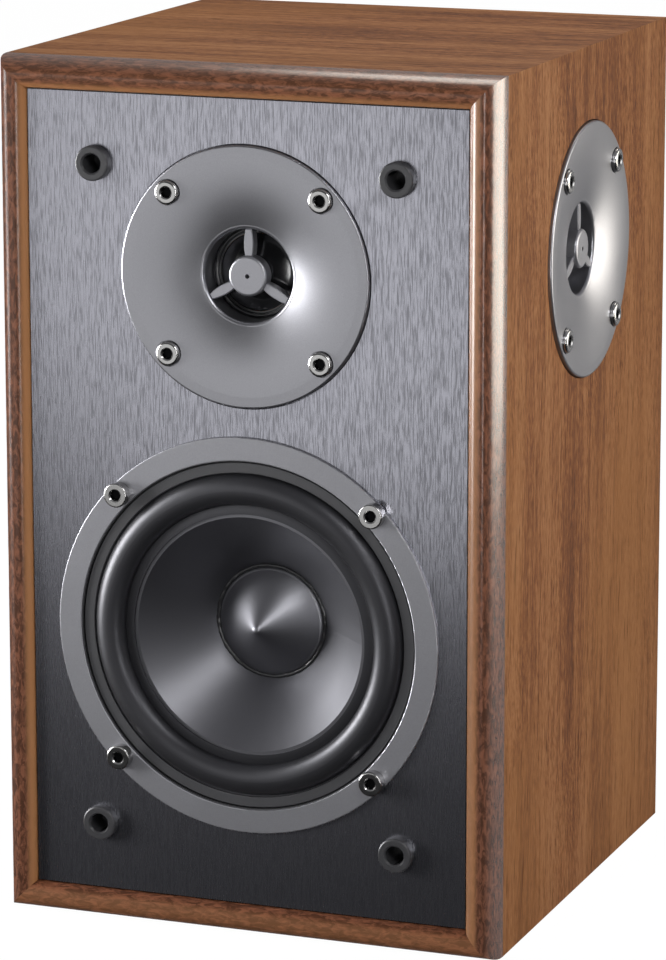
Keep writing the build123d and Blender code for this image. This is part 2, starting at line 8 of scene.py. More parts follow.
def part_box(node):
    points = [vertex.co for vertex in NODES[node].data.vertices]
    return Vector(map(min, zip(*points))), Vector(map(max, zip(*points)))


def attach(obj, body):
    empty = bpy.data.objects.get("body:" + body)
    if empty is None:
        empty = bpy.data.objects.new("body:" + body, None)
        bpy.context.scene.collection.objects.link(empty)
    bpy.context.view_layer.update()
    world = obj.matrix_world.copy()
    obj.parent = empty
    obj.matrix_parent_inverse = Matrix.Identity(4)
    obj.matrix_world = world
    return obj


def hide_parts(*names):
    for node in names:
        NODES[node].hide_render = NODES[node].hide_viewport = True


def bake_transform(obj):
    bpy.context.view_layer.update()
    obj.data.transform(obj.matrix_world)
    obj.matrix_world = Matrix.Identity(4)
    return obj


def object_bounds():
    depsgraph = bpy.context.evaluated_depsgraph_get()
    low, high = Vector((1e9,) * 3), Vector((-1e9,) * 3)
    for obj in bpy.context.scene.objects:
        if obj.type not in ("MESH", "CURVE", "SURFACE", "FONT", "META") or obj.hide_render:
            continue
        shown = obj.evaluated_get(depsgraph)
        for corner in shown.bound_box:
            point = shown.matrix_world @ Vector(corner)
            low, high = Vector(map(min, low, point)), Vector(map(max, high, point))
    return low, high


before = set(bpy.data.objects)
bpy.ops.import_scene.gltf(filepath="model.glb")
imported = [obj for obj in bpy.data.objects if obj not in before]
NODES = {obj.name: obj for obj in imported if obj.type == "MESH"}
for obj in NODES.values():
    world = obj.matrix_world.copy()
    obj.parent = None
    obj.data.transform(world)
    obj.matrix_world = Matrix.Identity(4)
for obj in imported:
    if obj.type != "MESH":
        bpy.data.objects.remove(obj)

CAD_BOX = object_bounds()
SURROUND_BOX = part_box("woofer_surround")
CONE_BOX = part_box("woofer_cone")
CAP_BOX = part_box("woofer_dust_cap")
NOSE_BACK = -0.0795             # where the rounded nose meets the panel's flat
OUTER_SLOPE = (0.0065, 0.0035)  # in from the board's outside: where the nose's outer slope starts, and is full
INNER_EDGE = (0.0072, 0.0094)   # where the painted highlight on the nose's inner edge starts, and is full

bl_info = {
    "name": "Bookshelf Speaker",
    "version": (1, 0, 0),
    "blender": (4, 5, 0),
    "location": "View3D > Sidebar > Speaker",
    "description": "Finishes, soft parts and studio for a walnut bookshelf speaker",
    "category": "Object",
}


# ---------------------------------------------------------------- shader arithmetic

class Value:
    """A shader output that can be used in sums; each sum adds its Math node."""

    def __init__(self, recipe, socket):
        self.recipe = recipe
        self.socket = socket

    def sum(self, operation, first, second):
        return self.recipe.add("ShaderNodeMath", {"operation": operation}, {0: first, 1: second})

    def __add__(self, other):
        return self.sum("ADD", self, other)

    def __radd__(self, other):
        return self.sum("ADD", other, self)

    def __sub__(self, other):
        return self.sum("SUBTRACT", self, other)

    def __rsub__(self, other):
        return self.sum("SUBTRACT", other, self)

    def __mul__(self, other):
        return self.sum("MULTIPLY", self, other)

    def __pow__(self, other):
        return self.sum("POWER", self, other)


class Recipe:
    """A material under construction, around one Principled shader."""

    def __init__(self, name, **constants):
        self.material = bpy.data.materials.new(name)
        self.material.use_nodes = True
        self.tree = self.material.node_tree
        self.shader = self.tree.nodes["Principled BSDF"]
        for socket, value in constants.items():
            self.shader.inputs[socket.replace("_", " ")].default_value = value

    def add(self, kind, settings=None, inputs=None, output=0):
        """Add a node: its settings first, then the values and links of its sockets."""
        node = self.tree.nodes.new(kind)
        for key, value in (settings or {}).items():
            if key == "stops":
                ramp = node.color_ramp.elements
                while len(ramp) < len(value):
                    ramp.new(0.5)
                for stop, (place, colour) in zip(ramp, value):
                    stop.position = place
                    stop.color = colour
            else:
                setattr(node, key, value)
        for key, value in (inputs or {}).items():
            if isinstance(value, Value):
                self.tree.links.new(value.socket, node.inputs[key])
            else:
                node.inputs[key].default_value = value
        return Value(self, node.outputs[output])

    def sum_of(self, operation, value):
        return self.add("ShaderNodeMath", {"operation": operation}, {0: value})

    def place(self, stretch=(1, 1, 1), shift=(0, 0, 0)):
        """The object's own coordinates in metres, stretched for a pattern."""
        here = self.add("ShaderNodeTexCoord", output="Object")
        return self.add("ShaderNodeMapping", inputs={"Scale": stretch, "Location": shift, "Vector": here})

    def noise(self, where, scale=1.0, detail=4.0, roughness=0.5, distortion=0.0):
        inputs = {"Vector": where, "Scale": scale, "Detail": detail, "Roughness": roughness,
                  "Distortion": distortion}
        return self.add("ShaderNodeTexNoise", inputs=inputs)

    def ramp(self, factor, *stops):
        """A colour ramp; a stop's colour is a grey level or a colour of three numbers."""
        filled = []
        for spot, colour in stops:
            rgb = (colour,) * 3 if isinstance(colour, (int, float)) else tuple(colour)
            filled.append((spot, (*rgb, 1.0)))
        return self.add("ShaderNodeValToRGB", {"stops": filled}, {"Fac": factor})

    def mix(self, factor, first, second):
        inputs = {0: factor, 6: first, 7: second}
        return self.add("ShaderNodeMix", {"data_type": "RGBA"}, inputs, output=2)

    def bump(self, height, distance, strength):
        return self.add("ShaderNodeBump", inputs={"Height": height, "Distance": distance, "Strength": strength})

    def feed(self, **links):
        for socket, value in links.items():
            self.tree.links.new(value.socket, self.shader.inputs[socket.replace("_", " ")])
        return self.material


def rgb(colour):
    """A colour property as the four numbers a socket takes."""
    return (*tuple(colour)[:3], 1.0)


def shade(colour, factor):
    """The same colour made lighter or darker."""
    return tuple(min(channel * factor, 1.0) for channel in tuple(colour)[:3])


# ---------------------------------------------------------------- settings

class SpeakerFinish(bpy.types.PropertyGroup):
    """Colours of the cabinet and its drive units, and sizes of the screw heads and their sockets."""

    walnut: bpy.props.FloatVectorProperty(
        name="Walnut", description="Middle tone of the walnut foil", subtype="COLOR",
        default=(0.275, 0.100, 0.029))
    walnut_dark: bpy.props.FloatVectorProperty(
        name="Walnut grain", description="Darkest streaks of the walnut foil", subtype="COLOR",
        default=(0.120, 0.038, 0.013))
    walnut_light: bpy.props.FloatVectorProperty(
        name="Walnut figure", description="Lightest streaks of the walnut foil", subtype="COLOR",
        default=(0.43, 0.195, 0.076))
    walnut_amber: bpy.props.FloatVectorProperty(
        name="Walnut amber", description="Golden clouds in the walnut foil", subtype="COLOR",
        default=(0.36, 0.150, 0.042))
    nose: bpy.props.FloatVectorProperty(
        name="Nose", description="Foil on the rounded front edge", subtype="COLOR",
        default=(0.085, 0.030, 0.013))
    nose_light: bpy.props.FloatVectorProperty(
        name="Nose mottle", description="Paler flecks of the front edge", subtype="COLOR",
        default=(0.25, 0.092, 0.046))
    baffle: bpy.props.FloatVectorProperty(
        name="Baffle", description="Brushed black foil of the baffle", subtype="COLOR",
        default=(0.42, 0.42, 0.47))
    silver: bpy.props.FloatVectorProperty(
        name="Silver", description="Satin silver of plates and trim ring", subtype="COLOR",
        default=(0.33, 0.33, 0.355))
    screw_head: bpy.props.FloatProperty(
        name="Screw head", description="Radius of a screw head", unit="LENGTH", default=0.004)
    # radius of the painted shade inside each screw's hex socket
    socket_shade_radius: bpy.props.FloatProperty(
        name="Hex socket", description="Radius of the dark inside of a screw's socket", unit="LENGTH",
        default=0.0018)
    rubber: bpy.props.FloatVectorProperty(
        name="Rubber", description="Woofer surround", subtype="COLOR", default=(0.014, 0.014, 0.016))
    cone: bpy.props.FloatVectorProperty(
        name="Cone", description="Coated paper of the cone", subtype="COLOR", default=(0.007, 0.007, 0.0085))


class SpeakerSurround(bpy.types.PropertyGroup):
    """Sizes of the woofer's rubber surround and glue line."""

    roll_inner: bpy.props.FloatProperty(
        name="Roll inside", description="Inside radius of the half roll", unit="LENGTH", default=0.043)
    roll_outer: bpy.props.FloatProperty(
        name="Roll outside", description="Outside radius of the half roll", unit="LENGTH", default=0.053)
    lap: bpy.props.FloatProperty(
        name="Lap", description="How far the inner flange reaches onto the cone", unit="LENGTH", default=0.0027)
    skin: bpy.props.FloatProperty(
        name="Skin", description="Thickness of the rubber", unit="LENGTH", default=0.0006)
    bead: bpy.props.FloatProperty(
        name="Glue bead", description="Radius of the bead round the dust cap", unit="LENGTH", default=0.0008)
    steps: bpy.props.IntProperty(
        name="Steps", description="Steps round a full turn", default=192, min=48)


class SpeakerStage(bpy.types.PropertyGroup):
    """Camera placement and lens."""

    azimuth: bpy.props.FloatProperty(
        name="Azimuth", description="Camera angle to the right of the front", subtype="ANGLE",
        default=math.radians(20.55))
    elevation: bpy.props.FloatProperty(
        name="Elevation", description="Camera angle above the horizon", subtype="ANGLE",
        default=math.radians(11.51))
    distance: bpy.props.FloatProperty(
        name="Distance", description="From the aim point to the camera", unit="LENGTH", default=1.4856)
    lens: bpy.props.FloatProperty(
        name="Lens", description="Focal length in millimetres", default=165.7)
    aim_height: bpy.props.FloatProperty(
        name="Aim height", description="Height of the aim point", unit="LENGTH", default=0.1602)
    aim_side: bpy.props.FloatProperty(
        name="Aim side", description="Aim point to the right of the middle", unit="LENGTH", default=0.0037)
    shift_x: bpy.props.FloatProperty(name="Shift across", description="Lens shift across", default=-0.02)
    shift_y: bpy.props.FloatProperty(name="Shift up", description="Lens shift upwards", default=-0.08)


# ---------------------------------------------------------------- materials

def walnut_foil(name, finish, along, seed, lacquer, rim, nose):
    """Walnut with fine fibres along one axis, broad streaks and dark pores, lacquered on its nose, with a
    painted highlight there.

    along: the grain's axis. lacquer: the coat's IOR.
    rim: the axis across the board, the cabinet's middle on it, and how far the outside is from there.
    nose: coat weight on its inner and outer slopes, painted highlight on its inner edge, painted highlight over
    all of it.
    """
    recipe = Recipe(name, Specular_IOR_Level=0.08, Coat_Roughness=0.24, Coat_IOR=lacquer)
    shift = (seed * 1.7, seed * 0.9, seed * 2.3)

    def stretch(across, length):
        return tuple(length if axis == along else across for axis in range(3))

    warp = recipe.noise(recipe.place(stretch(16, 5), shift), 1.0, 2.0)
    bend = recipe.add("ShaderNodeVectorMath", {"operation": "SCALE"}, {0: recipe.add(
        "ShaderNodeCombineXYZ", inputs={0: warp, 1: warp, 2: warp}), "Scale": 0.018})

    def grain(scale, length, detail, roughness=0.6):
        where = recipe.add("ShaderNodeVectorMath", {"operation": "ADD"}, {
            0: recipe.place(stretch(1.0, length), shift), 1: bend})
        return recipe.noise(where, scale, detail, roughness)

    bands = grain(42.0, 0.07, 3.0)
    streaks = grain(240.0, 0.05, 4.0)
    fibres = grain(1300.0, 0.05, 3.0, 0.65)
    flecks = grain(2300.0, 0.14, 2.0)
    pore_mask = recipe.ramp(grain(1000.0, 0.06, 2.0, 0.5), (0.61, 0.0), (0.69, 1.0))
    cloud = recipe.noise(recipe.place(stretch(11, 6), shift), 1.0, 3.0)

    tone = bands * 0.30 + streaks * 0.20 + fibres * 0.26 + flecks * 0.36
    shades = (0.485, tuple(finish.walnut_dark)), (0.56, tuple(finish.walnut)), (0.64, tuple(finish.walnut_light))
    colour = recipe.ramp(tone, *shades)
    amber = recipe.mix(recipe.ramp(cloud, (0.46, 0.0), (0.66, 0.55)), colour, rgb(finish.walnut_amber))
    inked = recipe.mix(pore_mask * 0.6, amber, rgb(shade(finish.walnut_dark, 0.5)))
    depth = recipe.add("ShaderNodeSeparateXYZ", inputs={0: recipe.place()}, output=1)
    edge = recipe.add("ShaderNodeMapRange", {"interpolation_type": "SMOOTHSTEP"},
                      {"Value": depth, "From Min": NOSE_BACK + 0.0003, "From Max": NOSE_BACK - 0.0002})
    mottle = recipe.noise(recipe.place(stretch(1.0, 0.35), shift), 700.0, 4.0, 0.65, 0.8)
    lip = recipe.mix(recipe.ramp(mottle, (0.42, 0.0), (0.62, 1.0)), rgb(finish.nose), rgb(finish.nose_light))
    axis, middle, reach = rim
    inner_coat, outer_coat, pale, nose_highlight = nose
    across = recipe.add("ShaderNodeSeparateXYZ", inputs={0: recipe.place()}, output=axis)
    spot = recipe.sum_of("ABSOLUTE", across - middle)
    outer = recipe.add("ShaderNodeMapRange", {"interpolation_type": "SMOOTHSTEP"},
                       {"Value": spot, "From Min": reach - OUTER_SLOPE[0], "From Max": reach - OUTER_SLOPE[1]})
    inner = recipe.add("ShaderNodeMapRange", {"interpolation_type": "SMOOTHSTEP"},
                       {"Value": spot, "From Min": reach - INNER_EDGE[0], "From Max": reach - INNER_EDGE[1]})
    # painted highlight: a paler walnut mixed into the nose colour, mostly on its inner edge, by amounts set per
    # panel
    nose_painted_highlight = recipe.mix(inner * pale + nose_highlight, lip, rgb(shade(finish.walnut_light, 1.1)))
    wood = recipe.mix(edge, inked, nose_painted_highlight)
    height = fibres * 0.5 - pore_mask * 0.8 + streaks * 0.3 + edge * mottle * 1.6
    rough = 0.48 + fibres * 0.10 + pore_mask * 0.15
    coat = edge * (outer * (outer_coat - inner_coat) + inner_coat)
    relief = recipe.bump(height, 0.00012, 0.5)
    return recipe.feed(Base_Color=wood, Roughness=rough, Coat_Weight=coat, Normal=relief)


def brushed_foil(name, finish):
    """Dark foil with short upright scratches that catch the light."""
    recipe = Recipe(name, Metallic=1.0)
    long_lines = recipe.noise(recipe.place((1.0, 1.0, 0.045)), 900.0, 3.0, 0.6)
    dashes = recipe.noise(recipe.place((1.0, 1.0, 0.07), (3.1, 0, 1.7)), 2300.0, 2.0, 0.6)
    hair = recipe.noise(recipe.place((1.0, 1.0, 0.025), (1.3, 0, 0.4)), 3200.0, 2.0, 0.6)
    lines = recipe.ramp(long_lines * 0.16 + dashes * 0.56 + hair * 0.28, (0.42, 0.0), (0.54, 1.0))
    colour = recipe.mix(lines, rgb(shade(finish.baffle, 0.62)), rgb(shade(finish.baffle, 1.08)))
    rough = 0.30 - lines * 0.06
    return recipe.feed(Base_Color=colour, Roughness=rough, Normal=recipe.bump(lines, 0.00003, 0.3))


def satin_silver(name, colour, roughness=0.42, metallic=0.85):
    """Satin silver paint with a very fine fleck."""
    recipe = Recipe(name, Metallic=metallic, Specular_IOR_Level=0.5)
    fleck = recipe.noise(recipe.place(), 3800.0, 2.0, 0.6)
    soft = recipe.noise(recipe.place(), 60.0, 3.0, 0.5)
    tone = recipe.mix(fleck, rgb(shade(colour, 0.82)), rgb(shade(colour, 1.18)))
    rough = roughness - 0.05 + soft * 0.06 + fleck * 0.04
    return recipe.feed(Base_Color=tone, Roughness=rough, Normal=recipe.bump(fleck, 0.00001, 0.35))


def moulded(name, colour, roughness=0.5, grain=900.0, depth=0.00003, coat=0.0):
    """Moulded plastic or painted metal with a fine even texture."""
    recipe = Recipe(name, Coat_Weight=coat, Coat_Roughness=0.15)
    skin = recipe.noise(recipe.place(), grain, 3.0, 0.55)
    blotch = recipe.noise(recipe.place(), 45.0, 2.0, 0.5)
    tone = recipe.mix(blotch, rgb(shade(colour, 0.85)), rgb(shade(colour, 1.2)))
    rough = roughness - 0.04 + skin * 0.08
    return recipe.feed(Base_Color=tone, Roughness=rough, Normal=recipe.bump(skin, depth, 0.4))


def metal(name, colour, roughness=0.25, grain=1400.0, strength=0.25):
    """Plated or bare metal with light handling marks."""
    recipe = Recipe(name, Metallic=1.0)
    marks = recipe.noise(recipe.place(), grain, 3.0, 0.6)
    film = recipe.noise(recipe.place(), 120.0, 3.0, 0.5)
    tone = recipe.mix(film, rgb(shade(colour, 0.85)), rgb(shade(colour, 1.1)))
    rough = roughness + film * 0.10 + marks * 0.05
    return recipe.feed(Base_Color=tone, Roughness=rough, Normal=recipe.bump(marks, 0.00001, strength))


def socket_screw(name, colour, radius, spacing, centre, across):
    """Bright screws with painted shade inside their hex sockets: four heads on a square about the centre."""
    recipe = Recipe(name, Metallic=1.0)
    where = recipe.place()
    split = [recipe.add("ShaderNodeSeparateXYZ", inputs={0: where}, output=axis) for axis in (across, 2)]
    squares = []
    for value, middle in zip(split, centre):
        gap = recipe.sum_of("ABSOLUTE", value - middle) - spacing / 2
        squares.append(gap * gap)
    reach = (squares[0] + squares[1]) ** 0.5
    # painted shade: inside the hex socket's radius the colour goes near black and rougher
    inside = recipe.add("ShaderNodeMapRange", {"interpolation_type": "SMOOTHSTEP"},
                        {"Value": reach, "From Min": radius * 1.06, "From Max": radius * 0.96})
    film = recipe.noise(where, 260.0, 3.0)
    plated = recipe.mix(film, rgb(shade(colour, 0.85)), rgb(shade(colour, 1.1)))
    tone = recipe.mix(inside, plated, rgb((0.012, 0.012, 0.013)))
    rough = 0.17 + film * 0.08 + inside * 0.3
    return recipe.feed(Base_Color=tone, Roughness=rough, Normal=recipe.bump(film, 0.00002, 0.3))


def wound_wire(name, colour, pitch):
    """Rows of enamelled wire: rings that repeat along the coil's axis and its radius."""
    recipe = Recipe(name, Metallic=0.85, Coat_Weight=0.6, Coat_Roughness=0.15)
    where = recipe.place((1.0 / pitch,) * 3)
    rows = recipe.add("ShaderNodeTexWave", {"wave_type": "BANDS", "bands_direction": "Z"},
                      {"Vector": where, "Scale": 0.5, "Distortion": 1.5, "Detail": 1.0}, output=1)
    speck = recipe.noise(recipe.place(), 900.0, 2.0)
    tone = recipe.mix(rows, rgb(shade(colour, 0.45)), rgb(shade(colour, 1.1)))
    rough = 0.25 + speck * 0.15
    return recipe.feed(Base_Color=tone, Roughness=rough, Normal=recipe.bump(rows, 0.0002, 0.6))


def woven(name, colour, threads=1100.0, roughness=0.8):
    """Stiffened cloth with a plain weave."""
    recipe = Recipe(name, Sheen_Weight=0.2, Sheen_Roughness=0.5)
    where = recipe.place((threads,) * 3)
    warp = recipe.add("ShaderNodeTexWave", {"wave_type": "BANDS", "bands_direction": "X"},
                      {"Vector": where, "Scale": 0.5}, output=1)
    weft = recipe.add("ShaderNodeTexWave", {"wave_type": "BANDS", "bands_direction": "Z"},
                      {"Vector": where, "Scale": 0.5}, output=1)
    weave = warp * 0.5 + weft * 0.5
    stain = recipe.noise(recipe.place(), 60.0, 3.0)
    tone = recipe.mix(weave * 0.6 + stain * 0.4, rgb(shade(colour, 0.6)), rgb(shade(colour, 1.15)))
    rough = roughness + weave * 0.1
    return recipe.feed(Base_Color=tone, Roughness=rough, Normal=recipe.bump(weave, 0.0002, 0.5))


def coated_cone(name, colour, roughness, index):
    """Coated paper: a satin film over faint fibres."""
    recipe = Recipe(name, Specular_IOR_Level=1.0, IOR=index, Specular_Tint=(0.92, 0.92, 1.0, 1.0))
    fibres = recipe.noise(recipe.place(), 520.0, 5.0, 0.65, 0.6)
    blotch = recipe.noise(recipe.place(), 70.0, 3.0)
    tone = recipe.mix(fibres * 0.6 + blotch * 0.4, rgb(shade(colour, 0.75)), rgb(shade(colour, 1.25)))
    rough = roughness - 0.04 + fibres * 0.08
    return recipe.feed(Base_Color=tone, Roughness=rough, Normal=recipe.bump(fibres, 0.00003, 0.35))


def satin_rubber(name, colour):
    """Moulded rubber, satin where it rolls, with dust-fine specks."""
    recipe = Recipe(name, Specular_IOR_Level=0.65, Specular_Tint=(0.92, 0.92, 1.0, 1.0))
    skin = recipe.noise(recipe.place(), 700.0, 4.0, 0.6)
    bloom = recipe.noise(recipe.place(), 35.0, 3.0)
    speck = recipe.ramp(recipe.noise(recipe.place(), 1900.0, 1.0), (0.73, 0.0), (0.78, 1.0))
    tone = recipe.mix(bloom, rgb(shade(colour, 0.8)), rgb(shade(colour, 1.3)))
    dusted = recipe.mix(speck * 0.35, tone, rgb((0.09, 0.09, 0.095)))
    rough = 0.36 + skin * 0.10 + speck * 0.1
    return recipe.feed(Base_Color=dusted, Roughness=rough, Normal=recipe.bump(skin, 0.00003, 0.4))


def fluffy(name, colour):
    """Loose fibre wadding."""
    recipe = Recipe(name, Sheen_Weight=0.5, Sheen_Roughness=0.6)
    curls = recipe.noise(recipe.place(), 240.0, 6.0, 0.75, 1.5)
    tone = recipe.mix(curls, rgb(shade(colour, 0.6)), rgb(shade(colour, 1.1)))
    rough = 0.85 + curls * 0.1
    return recipe.feed(Base_Color=tone, Roughness=rough, Normal=recipe.bump(curls, 0.0012, 0.8))


def lacquered_board(name, colour):
    """A circuit board with a faint weave and copper tracks under the lacquer."""
    recipe = Recipe(name, Coat_Weight=0.5, Coat_Roughness=0.2)
    cells = recipe.add("ShaderNodeTexVoronoi", {"feature": "DISTANCE_TO_EDGE"},
                       {"Vector": recipe.place((75, 75, 1)), "Scale": 1.0})
    track = recipe.ramp(cells, (0.05, 1.0), (0.08, 0.0))
    grain = recipe.noise(recipe.place(), 800.0, 2.0)
    tone = recipe.mix(track * 0.6, rgb(colour), rgb((0.25, 0.38, 0.12)))
    mottled = recipe.mix(grain * 0.3, tone, rgb(shade(colour, 0.5)))
    rough = 0.35 + grain * 0.15
    return recipe.feed(Base_Color=mottled, Roughness=rough, Normal=recipe.bump(track, 0.00005, 0.5))


def wear(node, material):
    """Give a carried-over part its finish in every material slot."""
    part = NODES[node]
    for index in range(len(part.data.materials)):
        part.data.materials[index] = material


# ---------------------------------------------------------------- mesh helpers

def outward(centre, radius, depth):
    """A point of a turned outline: radius from the axis, depth out of the baffle."""
    return Vector((centre.x + radius, centre.y - depth, centre.z))


def spin_profile(name, points, centre, steps):
    """Turn a closed outline of (radius, depth) points about the drive unit's axis."""
    shape = bmesh.new()
    ring = [shape.verts.new(outward(centre, radius, depth)) for radius, depth in points]
    edges = [shape.edges.new((ring[i], ring[(i + 1) % len(ring)])) for i in range(len(ring))]
    bmesh.ops.spin(shape, geom=ring + edges, cent=centre, axis=(0, 1, 0), angle=2 * math.pi, steps=steps,
                   use_merge=True)
    bmesh.ops.remove_doubles(shape, verts=shape.verts, dist=1e-7)
    bmesh.ops.recalc_face_normals(shape, faces=shape.faces)
    return finished_mesh(name, shape)


def finished_mesh(name, shape, sharp_over=35.0):
    """Write a bmesh into a new object, smooth shaded apart from its sharp edges."""
    for face in shape.faces:
        face.smooth = True
    limit = math.radians(sharp_over)
    for edge in shape.edges:
        edge.smooth = not (len(edge.link_faces) == 2 and edge.calc_face_angle(0.0) > limit)
    mesh = bpy.data.meshes.new(name)
    shape.to_mesh(mesh)
    shape.free()
    piece = bpy.data.objects.new(name, mesh)
    bpy.context.scene.collection.objects.link(piece)
    return piece


def driver_centre(box):
    """The middle of a drive unit, with y on its seat in the baffle."""
    low, high = box
    return Vector(((low[0] + high[0]) / 2, high[1], (low[2] + high[2]) / 2))


# ---------------------------------------------------------------- operators

class SPEAKER_OT_cabinet(bpy.types.Operator):
    """Finish the walnut panels, the baffle and the back"""

    bl_idname = "speaker.cabinet"
    bl_label = "Cabinet"

    def execute(self, context):
        finish = context.scene.speaker_finish
        upright, level = 2, 0
        # grain axis, IOR of the coat, then the nose's coat weights on its inner and outer slopes, its painted
        # highlight on the inner edge and its painted highlight all over
        panels = {
            "side_panel_left": (upright, 1.45, (0.9, 0.10, 0.95, 0.0)),
            "side_panel_right": (upright, 2.3, (0.22, 0.90, 0.6, 0.0)),
            "top_panel": (level, 1.55, (0.3, 1.0, 0.7, 0.05)),
            "bottom_panel": (level, 1.4, (0.1, 0.8, -0.25, 0.25)),
        }
        low, high = CAD_BOX
        for seed, (node, (along, lacquer, nose)) in enumerate(panels.items()):
            across = 2 - along
            rim = (across, (low[across] + high[across]) / 2, (high[across] - low[across]) / 2)
            wear(node, walnut_foil(f"walnut_{node}", finish, along, seed + 1, lacquer, rim, nose))
        wear("front_baffle", brushed_foil("brushed_baffle", finish))
        wear("back_panel", moulded("back_foil", (0.028, 0.028, 0.03), 0.55, 420.0, 0.00008))
        return {"FINISHED"}


class SPEAKER_OT_surround(bpy.types.Operator):
    """Model the woofer's half roll as two rubber rings that meet on its crown"""

    bl_idname = "speaker.surround"
    bl_label = "Woofer surround"

    def execute(self, context):
        sizes = context.scene.speaker_surround
        finish = context.scene.speaker_finish
        rubber = satin_rubber("surround_rubber", finish.rubber)
        centre = driver_centre(SURROUND_BOX)
        crown = SURROUND_BOX[1][1] - SURROUND_BOX[0][1]
        inner_rim = (CONE_BOX[1][0] - CONE_BOX[0][0]) / 2 - sizes.lap
        outer_rim = (SURROUND_BOX[1][0] - SURROUND_BOX[0][0]) / 2
        middle = (sizes.roll_inner + sizes.roll_outer) / 2
        half = (sizes.roll_outer - sizes.roll_inner) / 2
        skin = sizes.skin

        def roll(sign, height, width, steps=14):
            """Quarter of the roll, from its foot to its crown."""
            points = []
            for step in range(steps + 1):
                turn = math.pi / 2 * step / steps
                points.append((middle + sign * width * math.cos(turn), skin * 0.6 + height * math.sin(turn)))
            return points

        halves = ("surround_inner_half", -1, inner_rim), ("surround_outer_half", 1, outer_rim)
        for name, sign, rim in halves:
            top = roll(sign, crown - skin * 0.6, half)
            under = roll(sign, crown - skin * 1.6, half - skin)[::-1]
            foot = middle + sign * half
            outline = [(rim, 0.0), (rim, skin), (foot + sign * 0.0004, skin)] + top + under
            outline.append((middle + sign * (half - skin), 0.0))
            piece = spin_profile(name, outline, centre, sizes.steps)
            piece.data.materials.append(rubber)
            if name == "surround_inner_half":
                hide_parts("woofer_surround")
            if sign < 0:
                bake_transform(piece)
            else:
                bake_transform(piece)
        return {"FINISHED"}


class SPEAKER_OT_woofer(bpy.types.Operator):
    """Finish the woofer's cone, cap, rings and motor, and lay the rough glue bead round its cap"""

    bl_idname = "speaker.woofer"
    bl_label = "Woofer"

    def execute(self, context):
        finish = context.scene.speaker_finish
        sizes = context.scene.speaker_surround
        wear("woofer_cone", coated_cone("cone_paper", finish.cone, 0.41, 1.85))
        cap = coated_cone("cap_black", shade(finish.cone, 0.25), 0.43, 2.1)
        wear("woofer_dust_cap", cap)
        wear("woofer_trim_ring", satin_silver("trim_silver", shade(finish.silver, 0.98), 0.40, 0.7))
        wear("woofer_clamp_ring", moulded("clamp_grey", (0.055, 0.055, 0.06), 0.42))
        wear("woofer_basket", moulded("basket_black", (0.02, 0.02, 0.022), 0.45))
        wear("woofer_gasket", moulded("woofer_foam", (0.02, 0.02, 0.02), 0.85, 1500.0, 0.0003))
        wear("woofer_spider", woven("spider_cloth", (0.5, 0.34, 0.13)))
        wear("woofer_voice_coil", wound_wire("woofer_coil_wire", (0.62, 0.27, 0.12), 0.0004))
        for part in ("top_plate", "yoke"):
            wear(f"woofer_{part}", metal(f"woofer_{part}_zinc", (0.55, 0.55, 0.57), 0.35))
        wear("woofer_magnet", moulded("woofer_ferrite", (0.045, 0.045, 0.05), 0.7, 500.0, 0.0002))
        wear("woofer_terminal_strip", moulded("strip_laminate", (0.22, 0.11, 0.05), 0.5))
        wear("woofer_terminal_tabs", metal("tab_brass", (0.72, 0.52, 0.22), 0.3))
        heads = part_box("woofer_screws")
        spacing = heads[1][2] - heads[0][2] - 2 * finish.screw_head
        middle = [(heads[0][axis] + heads[1][axis]) / 2 for axis in (0, 2)]
        wear("woofer_screws", socket_screw(
            "woofer_screw_nickel", (0.5, 0.495, 0.49), finish.socket_shade_radius, spacing, middle, 0))

        low, high = CAP_BOX
        radius = (high[0] - low[0]) / 2
        centre = Vector(((low[0] + high[0]) / 2, 0.0, (low[2] + high[2]) / 2))
        shape = bmesh.new()
        around = 12
        start = Vector((centre.x + radius + sizes.bead * 0.6, high[1] - 0.0012, centre.z))
        profile = bmesh.ops.create_circle(shape, cap_ends=False, segments=around, radius=sizes.bead)["verts"]
        bmesh.ops.translate(shape, verts=profile, vec=start)
        edges = list(shape.edges)
        bmesh.ops.spin(shape, geom=profile + edges, cent=centre, axis=(0, 1, 0), angle=2 * math.pi,
                       steps=sizes.steps, use_merge=True)
        bmesh.ops.remove_doubles(shape, verts=shape.verts, dist=1e-7)
        bmesh.ops.recalc_face_normals(shape, faces=shape.faces)
        for vert in shape.verts:
            spoke = Vector((vert.co.x - centre.x, 0, vert.co.z - centre.z))
            lump = noise.noise(vert.co * 900.0) * 0.00022 + noise.noise(vert.co * 260.0) * 0.0002
            vert.co += spoke.normalized() * lump
            vert.co.y += noise.noise(vert.co * 700.0 + Vector((5, 0, 0))) * 0.0002
        bead = finished_mesh("cap_glue_bead", shape, 60.0)
        bead.data.materials.append(moulded("glue_black", (0.018, 0.018, 0.02), 0.3, 500.0, 0.0001, 0.4))
        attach(bead, "woofer_moving")
        return {"FINISHED"}


